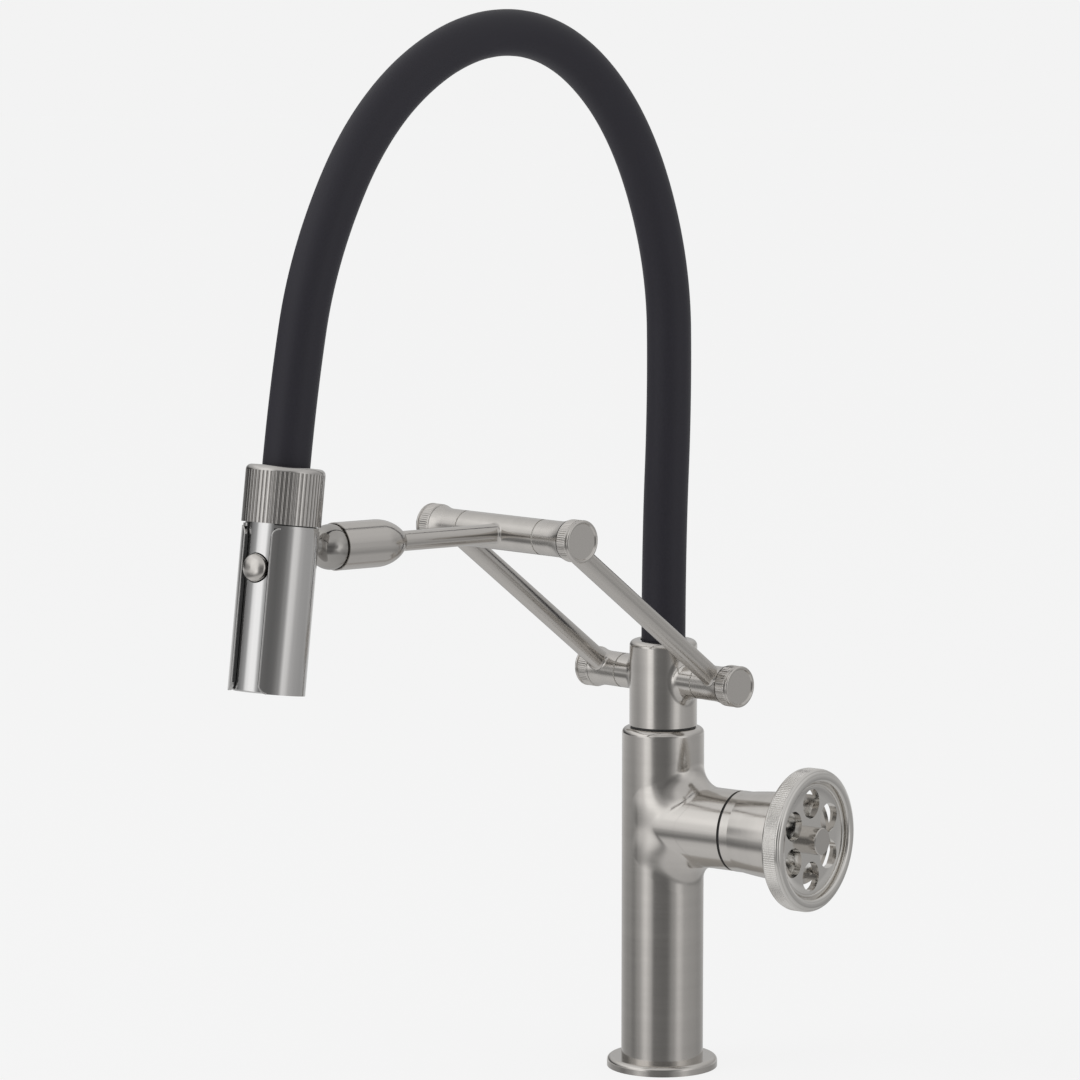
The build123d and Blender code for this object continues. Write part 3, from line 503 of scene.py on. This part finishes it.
matts = {
    "hoseRubber": {"colour": (0.017, 0.016, 0.022), "roughness": 0.5, "size": 2500, "bump": 0.12,
                   "shine": 0.3},
    "blackPolymer": {"colour": (0.03, 0.03, 0.03), "roughness": 0.5},
    "whitePolymer": {"colour": (0.8, 0.8, 0.78), "roughness": 0.45},
    "greyRubber": {"colour": (0.3, 0.3, 0.31), "roughness": 0.6},
    "ceramic": {"colour": (0.86, 0.85, 0.82), "roughness": 0.2},
    "brass": {"colour": (0.72, 0.56, 0.3), "roughness": 0.3, "metallic": 1},
    "copper": {"colour": (0.75, 0.42, 0.28), "roughness": 0.3, "metallic": 1},
    "plating": {"colour": (0.5, 0.5, 0.5), "roughness": 0.25, "metallic": 1},
}
materials = {name: steelMaterial(name, look) for name, look in steels.items()}
materials.update({name: mattMaterial(name, look) for name, look in matts.items()})
print("materials:", len(materials))

nodeFinish = {
    "columnSteel": ["deck_flange", "column_body", "swivel_body", "hose_ferrule", "swivel_screw"],
    "neckSteel": ["handle_neck"],
    "rimSteel": ["handwheel"],
    "wheelSteel": ["wheel_hub", "cartridge_stem", "handle_screw"],
    "pivotSteel": ["lower_caps", "elbow_caps", "lower_axles", "elbow_axle"],
    "armSteel": ["bridge_arm_left", "bridge_arm_right"],
    "forearmSteel": ["forearm_bar", "socket_cup"],
    "collarSteel": ["wand_collar", "spray_button", "button_spring", "wand_sleeve"],
    "dockSteel": ["dock_sleeve"],
    "ballPaintedShadeSteel": ["dock_ball"],
    "wandChrome": ["wand_body"],
    "hoseRubber": ["rubber_hose"],
    "blackPolymer": ["trim_ring", "swivel_glide", "dock_liner", "spray_core", "deck_seal",
                     "swivel_rings"],
    "whitePolymer": ["ball_seat", "lower_washers", "elbow_washers", "forearm_bushes",
                     "cartridge_housing", "aerator"],
    "greyRubber": ["spray_face"],
    "ceramic": ["fixed_disc", "moving_disc"],
    "brass": ["base_insert", "valve_block", "cartridge_nut", "hose_tail", "hose_nut"],
    "copper": ["supply_tubes"],
    "plating": ["socket_magnet"],
}
for finish, names in nodeFinish.items():
    for name in names:
        for materialSlot in nodes[name].material_slots:
            materialSlot.material = materials[finish]
print("finishes laid on the nodes")


# Knurled bands: a thin toothed ring round the handwheel's rim and round each pivot's cap
hands = (("Right", 1), ("Left", -1))
knurls = {
    "rim": {"start": 82.9, "end": 89.7, "radius": 34.92, "depth": 0.2, "teeth": 190},
    "cap": {"start": 44.9, "end": 50.2, "radius": 10.02, "depth": 0.14, "teeth": 60},
    "wall": 0.6,           # how deep each band sits in what carries it
    "bevel": 0.3,
    # one tooth: places as shares of the pitch, and heights as shares of the depth
    "toothPlaces": (0.0, 0.3, 0.55, 0.85),
    "toothHeights": (0.0, 1.0, 1.0, 0.0),
}


def knurledBand(name, centre, axis, look, finish, body):
    # round the axis: the radius in the valleys, radius plus depth on the flat tops; across the
    # band: up its start, over its top and down its end, all closed into one ring
    teeth = look["teeth"]
    turn = 2 * pi * (np.arange(teeth)[:, None] + np.array(knurls["toothPlaces"])).ravel() / teeth
    high = np.tile(knurls["toothHeights"], teeth) * look["depth"]
    low = np.zeros_like(high)
    base, wall, bevel = look["radius"], knurls["wall"], knurls["bevel"]
    places = np.array([look["start"], look["start"], look["start"] + bevel,
                       look["end"] - bevel, look["end"], look["end"]])
    radii = np.stack([low - wall, low, high, high, low, low - wall], axis=-1) + base
    axis = Vector(axis).normalized()
    across = Vector((0, 0, 1)).cross(axis).normalized()
    upward = axis.cross(across)
    points = (np.array(centre) + mm * (
        places[None, :, None] * np.array(axis)
        + (radii * np.cos(turn)[:, None])[..., None] * np.array(across)
        + (radii * np.sin(turn)[:, None])[..., None] * np.array(upward)))
    band = gridMesh(name, points, closeU=True, closeV=True, smooth=False)
    band.data.materials.append(materials[finish])
    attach(band, body)


knurledBand("rimKnurl", handleCentre, handleAxis, knurls["rim"], "knurlSteel", "handle")
for hand, side in hands:
    knurledBand("lowerKnurl" + hand, trunnionCentre, crossAxis * side, knurls["cap"], "pivotSteel",
                "swivel")
    knurledBand("elbowKnurl" + hand, elbowCentre, crossAxis * side, knurls["cap"], "pivotSteel",
                "arms")
print("knurled bands made")


# Crown on the handwheel's rim: the front of the rim is slightly round
rimCrown = {
    "radii": (28.95, 34.0),
    "face": 90.9,
    "height": 0.95,
    "flatness": 3,         # a higher power keeps the middle flatter
    "sunk": 0.6,           # how deep the crown sits in the rim
    "steps": 17,
    "around": 160,
    "sharp": 60,           # edges that turn by more degrees than this stay sharp
}


def makeRimCrown(look):
    # across the rim the front stands at face + height * (1 - |t|^flatness), with t from -1 to 1
    inside, outside = look["radii"]
    t = np.linspace(-1, 1, look["steps"])
    radii = (inside + outside) / 2 + t * (outside - inside) / 2
    front = look["face"] + look["height"] * (1 - np.abs(t) ** look["flatness"])
    radii = np.concatenate([radii, radii[[-1, 0]]])
    front = np.concatenate([front, [look["face"] - look["sunk"]] * 2])
    turn = np.linspace(0, 2 * pi, look["around"], endpoint=False)[:, None]
    points = np.array(handleCentre) + mm * np.stack(np.broadcast_arrays(
        front[None, :], radii[None, :] * np.cos(turn), radii[None, :] * np.sin(turn)), axis=-1)
    crown = gridMesh("rimCrown", points[::-1], closeU=True, closeV=True)
    crown.data.set_sharp_from_angle(angle=radians(look["sharp"]))
    crown.data.materials.append(materials["rimSteel"])
    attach(crown, "handle")


makeRimCrown(rimCrown)
print("rim crown made")


# Skin over the root of the boss: the column and the boss flow into each other with a soft hollow
bossSkin = {
    "columnRadius": 20.5,
    "bossRadius": 20.0,
    "blend": (1.2, 10.8),      # size of the hollow beside the boss and above or below it
    "alongBoss": (15.5, 12.0),  # how far the skin runs out on the boss, beside and above
    "onColumn": 15.0,
    "taper": 4.0,              # how slowly the boss shrinks past the column's middle
    "wall": 1.2,
    "proud": 0.03,
    "around": 300,
    "steps": 26,
    "settleSteps": 12,
    "sharp": 50,
}


def blendGap(places, look):
    # a rounded union: with a and b the distances from the column and from the boss, and k the
    # size of the hollow, it is k - length(k - a, k - b), and zero on the skin; k grows smoothly
    # with the lift, which is 0 beside the boss and 1 above or below it
    x, y, z = np.moveaxis(places, -1, 0)
    tiny = 0.001
    fromAxis = np.hypot(y, z)
    shrunk = look["bossRadius"] - np.minimum(x, 0) ** 2 / (2 * look["taper"])
    fromColumn = np.hypot(x, y) - look["columnRadius"]
    fromBoss = fromAxis - shrunk
    lift = np.clip(np.abs(z) / np.maximum(fromAxis, tiny), 0, 1)
    small, large = look["blend"]
    size = small + (large - small) * lift * lift * (3 - 2 * lift)
    hollow = np.hypot(np.maximum(size - fromColumn, 0), np.maximum(size - fromBoss, 0))
    return np.maximum(size, np.minimum(fromColumn, fromBoss)) - hollow


def blendSlope(places, look):
    # change of the gap along x, y and z
    step = 0.001
    return np.stack([(blendGap(places + shift, look) - blendGap(places - shift, look)) / (2 * step)
                     for shift in np.eye(3) * step], axis=-1)


def makeBossSkin(look):
    # for each angle round the boss, a line runs in along the boss to where it meets the column
    # and out over the column, and Newton steps lift the line onto the rounded union
    column, boss = look["columnRadius"], look["bossRadius"]
    turn = 2 * pi * np.arange(look["around"])[:, None] / look["around"]
    lift = np.abs(np.sin(turn))
    beside, above = look["alongBoss"]
    out = np.linspace(1, 0, look["steps"])[None, :]
    meeting = np.sqrt(column ** 2 - (boss * np.cos(turn)) ** 2)
    onBoss = np.stack(np.broadcast_arrays(
        meeting + (beside + (above - beside) * lift) * out,
        -boss * np.cos(turn), boss * np.sin(turn)), axis=-1)
    away = look["onColumn"] * np.linspace(0, 1, look["steps"])[None, 1:]
    angle = np.arctan2(meeting, boss * np.cos(turn)) - np.cos(turn) * away / column
    onColumn = np.stack([column * np.sin(angle), -column * np.cos(angle),
                         np.sin(turn) * (boss + away)], axis=-1)
    base = np.concatenate([onBoss, onColumn], axis=1)
    slope = blendSlope(base, look)
    inner = base - look["wall"] * slope / np.linalg.norm(slope, axis=-1, keepdims=True)
    outer = base.copy()
    for _ in range(look["settleSteps"]):
        slope = blendSlope(outer, look)
        steepness = np.sum(slope ** 2, axis=-1, keepdims=True)
        outer -= blendGap(outer, look)[..., None] * slope / steepness
    slope = blendSlope(outer, look)
    outer += look["proud"] * slope / np.linalg.norm(slope, axis=-1, keepdims=True)
    points = np.concatenate([outer, inner[:, ::-1]], axis=1) * mm + np.array(handleCentre)
    skin = gridMesh("bossSkin", points, closeU=True, closeV=True)
    skin.data.set_sharp_from_angle(angle=radians(look["sharp"]))
    skin.data.materials.append(materials["columnSteel"])
    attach(skin, "base")


makeBossSkin(bossSkin)
print("boss skin made")


# Trim of the dock, black bars painting the shadow on its cut edges, and cap of the button, placed
# about the spray's own axis
dockLip = {
    "opening": 28.5,           # half the gap at the front, in degrees
    "radii": (16.28, 17.25),
    "heights": (74.8, 76.3),
    "steps": 121,
}
dockEdge = {
    "edge": 26.5,              # half the dock's opening, in degrees
    "radius": 17.7,
    "length": 75.0,
    "corner": 4.0,
    "inset": 0.28,
    "bead": 0.42,
    "beadSides": 12,
    "bendSteps": 26,           # points on both rounded corners together
    "shadowBarWidth": 0.35,        # black bar over the sleeve's cut edge: painted shadow of the gap there
    "shadowBarRadii": (15.85, 17.3),
    "shadowBarHeights": (3.8, 71.2),
    "shadowBarSteps": 9,
}
buttonCap = {
    "height": 56.4,
    # distance from the button's own axis, and reach from the spray's axis
    "outline": [(0, 19.0), (2.0, 18.88), (3.8, 18.5), (5.2, 17.85), (6.0, 17.2), (6.35, 16.7),
                (6.45, 16.1), (6.45, 14.0), (6.3, 13.4), (0, 13.4)],
    "around": 72,
    "sharp": 50,
}


def sprayPoint(turn, out, rise):
    # a place by its turn from the spray's front, its distance from the axis and its height
    return (np.array(wandFoot)
            + mm * (out * np.cos(turn))[..., None] * np.array(-wandBack)
            + mm * (out * np.sin(turn))[..., None] * np.array((1, 0, 0))
            + mm * (rise + 0 * turn)[..., None] * np.array(wandUp))


def closedRows(ring):
    # the first and last rows are drawn together to a point
    ends = [np.repeat(ring[i].mean(axis=0)[None, None, :], ring.shape[1], axis=1) for i in (0, -1)]
    return np.concatenate([ends[0], ring, ends[1]], axis=0)


def makeDockLip(look):
    # a square section carried round the axis, drawn together to a point at both ends
    opening = radians(look["opening"])
    turn = opening + np.linspace(0, 1, look["steps"]) * (2 * pi - 2 * opening)
    inside, outside = look["radii"]
    low, high = look["heights"]
    radii = np.array([inside, inside, outside, outside])
    heights = np.array([high, low, low, high])
    points = closedRows(sprayPoint(turn[:, None], radii[None, :], heights[None, :]))
    lip = gridMesh("dockLip", points, closeV=True, smooth=False)
    lip.data.materials.append(materials["dockSteel"])
    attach(lip, "dock")


def makeDockBead(name, look, side):
    # a fine round wire along one edge of the opening: a quarter turn, a straight and a quarter
    # turn, each ring at bead times (cos around radial + sin around sideways)
    corner, inset = look["corner"], look["inset"]
    bend = np.linspace(pi / 2, 3 * pi / 2, look["bendSteps"])
    across = look["radius"] * radians(look["edge"]) + corner + (corner - inset) * np.cos(bend)
    rise = np.where(bend <= pi, look["length"] - corner, corner) + (corner - inset) * np.sin(bend)
    turn = side * across / look["radius"]
    path = sprayPoint(turn, np.full_like(turn, look["radius"] - inset), rise)
    radial = sprayPoint(turn, np.full_like(turn, 1 / mm), 0 * turn) - np.array(wandFoot)
    along = np.gradient(path, axis=0)
    along /= np.linalg.norm(along, axis=-1, keepdims=True)
    sideways = np.cross(radial, along)
    around = np.linspace(0, 2 * pi, look["beadSides"], endpoint=False)[None, :, None]
    ring = path[:, None, :] + mm * look["bead"] * (
        np.cos(around) * radial[:, None, :] + np.sin(around) * sideways[:, None, :])
    bead = gridMesh(name, closedRows(ring), closeV=True)
    bead.data.materials.append(materials["dockSteel"])
    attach(bead, "dock")


def makeEdgeShadowBar(name, look, side):
    # a flat black bar over the cut edge of the opening, a painted shadow of the gap beside the
    # dock's edge: four corners, each with a turn and a distance from the axis, carried straight up
    # and drawn together to a point at both ends
    near = radians(look["edge"])
    width = look["shadowBarWidth"] / look["radius"]
    inside, outside = look["shadowBarRadii"]
    turn = side * np.array([near - width, near, near, near - width])[::side]
    radii = np.array([inside, inside, outside, outside])[::side]
    heights = np.linspace(*look["shadowBarHeights"], look["shadowBarSteps"])
    bar = sprayPoint(turn[None, :], radii[None, :], heights[:, None])
    shadowBar = gridMesh(name, closedRows(bar), closeV=True, smooth=False)
    shadowBar.data.materials.append(materials["blackPolymer"])
    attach(shadowBar, "dock")


def makeButtonCap(look):
    # the outline turned about the button's axis, which points out of the spray's front
    outline = np.array(look["outline"])
    turn = np.linspace(0, 2 * pi, look["around"], endpoint=False)[:, None]
    aside = outline[None, :, 0] * np.cos(turn)
    raised = outline[None, :, 0] * np.sin(turn)
    points = (np.array(wandFoot) + mm * (
        aside[..., None] * np.array((1, 0, 0))
        + (outline[None, :, 1] + 0 * turn)[..., None] * np.array(-wandBack)
        + (raised + look["height"])[..., None] * np.array(wandUp)))
    cap = gridMesh("buttonCap", points[::-1], closeU=True)
    cap.data.set_sharp_from_angle(angle=radians(look["sharp"]))
    cap.data.materials.append(materials["buttonSteel"])
    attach(cap, "button")
    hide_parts("spray_button")


makeDockLip(dockLip)
for hand, side in hands:
    makeDockBead("dockBead" + hand, dockEdge, side)
    makeEdgeShadowBar("edgeShadowBar" + hand, dockEdge, side)
makeButtonCap(buttonCap)
print("dock edges and button cap made")


# Hose: one smooth line from the swivel up, over and down into the spray's collar
hose = {
    "diameter": 0.022,
    # distances in front of the column's axis and heights, in millimetres
    "route": [(0, 212), (0, 262), (-4, 336.5), (-2.5, 405), (26.5, 474.5), (76.5, 515), (137, 517),
              (196.5, 480.5), (234.5, 415.5)],
    "end": 97.0,           # up the spray's axis from its foot
    "straight": 37.0,      # how far the hose runs along the spray's axis before its end
    "order": 3,            # of the curve, which is a run of parabolas
    "resolution": 24,
    "roundness": 16,       # a higher value gives the hose more sides
}


def makeHose(look):
    # the route lies in the upright plane through the column's axis and the spray's end
    end = wandFoot / mm + wandUp * look["end"]
    entry = end + wandUp * look["straight"]
    swing = atan2(end.x, -end.y)
    corners = [Vector((out * sin(swing), -out * cos(swing), z)) for out, z in look["route"]]
    corners += [entry, end]
    curve = bpy.data.curves.new("rubberHose", "CURVE")
    curve.dimensions = "3D"
    spline = curve.splines.new("NURBS")
    spline.points.add(len(corners) - 1)
    for point, corner in zip(spline.points, corners):
        point.co = (*(corner * mm), 1)
    spline.order_u = look["order"]
    spline.use_endpoint_u = True
    spline.resolution_u = look["resolution"]
    curve.bevel_depth = look["diameter"] / 2
    curve.bevel_resolution = look["roundness"]
    curve.use_fill_caps = True
    made = bpy.data.objects.new("rubberHose", curve)
    bpy.context.scene.collection.objects.link(made)
    curve.materials.append(materials["hoseRubber"])
    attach(made, "swivel")
    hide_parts("rubber_hose")


makeHose(hose)
print("hose laid")
